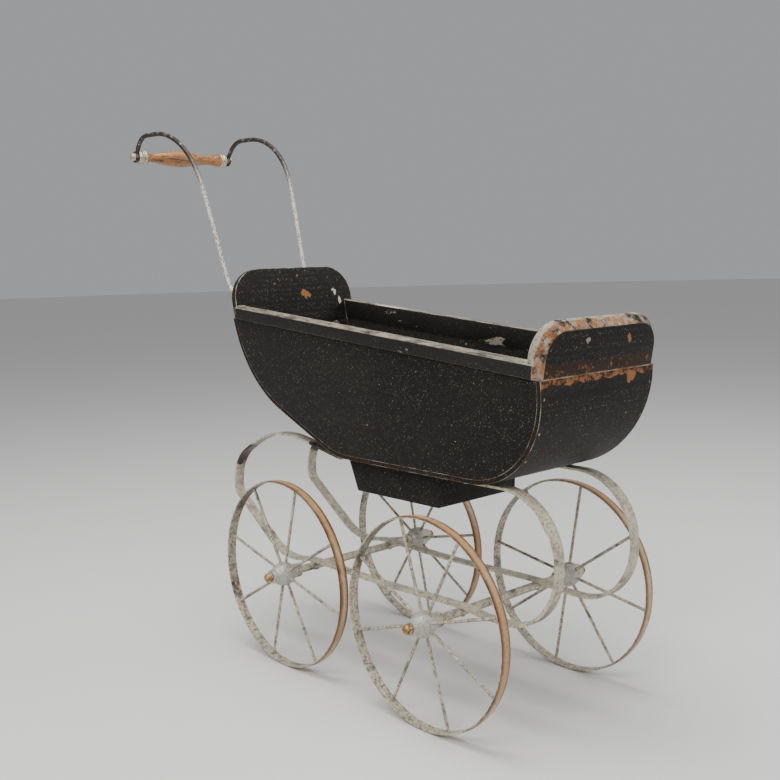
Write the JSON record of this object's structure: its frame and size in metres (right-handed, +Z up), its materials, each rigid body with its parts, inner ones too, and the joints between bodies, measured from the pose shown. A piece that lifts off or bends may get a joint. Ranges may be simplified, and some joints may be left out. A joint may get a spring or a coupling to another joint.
{
  "type": "antique doll carriage",
  "caption": "Antique wooden doll carriage: open boat-shaped tub on C-scroll strap springs, spoked iron wheels and a bent iron push handle with a turned wooden grip.",
  "frame": {"origin": "bottom centre of the whole carriage's bounding box, on the ground between the wheels", "axes": "+X towards the foot end, away from the push handle; +Y to the left; +Z up"},
  "size_m": [0.7416, 0.283, 0.6456],
  "materials": {
    "black_painted_wood": "matt black paint, speckled and chipped",
    "rail_wood": "black paint worn to beige and rust brown on the edges",
    "grip_wood": "old varnish with dark grain",
    "cream_painted_iron": "cream paint, worn and rust spotted",
    "tyre_iron": "cream paint worn to tan rust on the tread",
    "hub_iron": "dull grey galvanised",
    "nut_brass": "tarnished",
    "dark_iron": "dark brown patina",
    "ferrule_metal": "worn plating",
    "fastener_steel": "dark and dull"
  },
  "bodies": {
    "chassis": {"axle_front": "cream_painted_iron", "axle_rear": "cream_painted_iron", "axle_rivets_front": "cream_painted_iron", "axle_rivets_rear": "cream_painted_iron", "spring_strap_left": "cream_painted_iron", "spring_strap_right": "cream_painted_iron", "axle_nut_front_left": "nut_brass", "axle_nut_front_right": "nut_brass", "axle_nut_rear_left": "nut_brass", "axle_nut_rear_right": "nut_brass", "axle_collar_front_left": "cream_painted_iron", "axle_collar_front_right": "cream_painted_iron", "axle_collar_rear_left": "cream_painted_iron", "axle_collar_rear_right": "cream_painted_iron"},
    "carriage": {"belly_floor": "black_painted_wood", "belly_front": "black_painted_wood", "belly_rear": "black_painted_wood", "belly_tacks": "fastener_steel", "foot_board": "black_painted_wood", "front_cleat": "black_painted_wood", "grip_knob_left": "ferrule_metal", "grip_knob_right": "ferrule_metal", "grip_rod": "dark_iron", "handle_bolts": "fastener_steel", "handle_iron_left": "dark_iron", "handle_iron_right": "dark_iron", "handle_nuts": "fastener_steel", "head_board": "black_painted_wood", "packing_block_left": "black_painted_wood", "packing_block_right": "black_painted_wood", "rail_left": "rail_wood", "rail_right": "rail_wood", "side_panel_left": "black_painted_wood", "side_panel_right": "black_painted_wood", "spring_screws": "fastener_steel", "well_floor": "black_painted_wood", "well_front": "black_painted_wood", "well_rear": "black_painted_wood", "well_side_left": "black_painted_wood", "well_side_right": "black_painted_wood"},
    "grip": {"grip_wood": "grip_wood", "grip_ferrule_left": "ferrule_metal", "grip_ferrule_right": "ferrule_metal"},
    "wheel_front_left": {"tyre_front_left": "tyre_iron", "spokes_front_left": "cream_painted_iron", "hub_front_left": "hub_iron"},
    "wheel_front_right": {"tyre_front_right": "tyre_iron", "spokes_front_right": "cream_painted_iron", "hub_front_right": "hub_iron"},
    "wheel_rear_left": {"tyre_rear_left": "tyre_iron", "spokes_rear_left": "cream_painted_iron", "hub_rear_left": "hub_iron"},
    "wheel_rear_right": {"tyre_rear_right": "tyre_iron", "spokes_rear_right": "cream_painted_iron", "hub_rear_right": "hub_iron"}
  },
  "joints": [
    {"name": "body_bounce", "type": "slide", "parent": "chassis", "child": "carriage", "axis": [0, 0, 1], "range_m": [-0.012, 0.008], "stiffness_N_per_m": 4000, "springref_m": 0.0037, "deforming": ["spring_strap_left", "spring_strap_right"]},
    {"name": "grip_turn", "type": "hinge", "parent": "carriage", "child": "grip", "pos_m": [-0.35982, 0, 0.617], "axis": [0, 1, 0], "continuous": true},
    {"name": "wheel_spin_front_left", "type": "hinge", "parent": "chassis", "child": "wheel_front_left", "pos_m": [0.23318, 0.114, 0.11], "axis": [0, 1, 0], "continuous": true},
    {"name": "wheel_spin_front_right", "type": "hinge", "parent": "chassis", "child": "wheel_front_right", "pos_m": [0.23318, -0.114, 0.11], "axis": [0, 1, 0], "continuous": true},
    {"name": "wheel_spin_rear_left", "type": "hinge", "parent": "chassis", "child": "wheel_rear_left", "pos_m": [-0.00882, 0.107, 0.11], "axis": [0, 1, 0], "continuous": true},
    {"name": "wheel_spin_rear_right", "type": "hinge", "parent": "chassis", "child": "wheel_rear_right", "pos_m": [-0.00882, -0.107, 0.11], "axis": [0, 1, 0], "continuous": true}
  ]
}
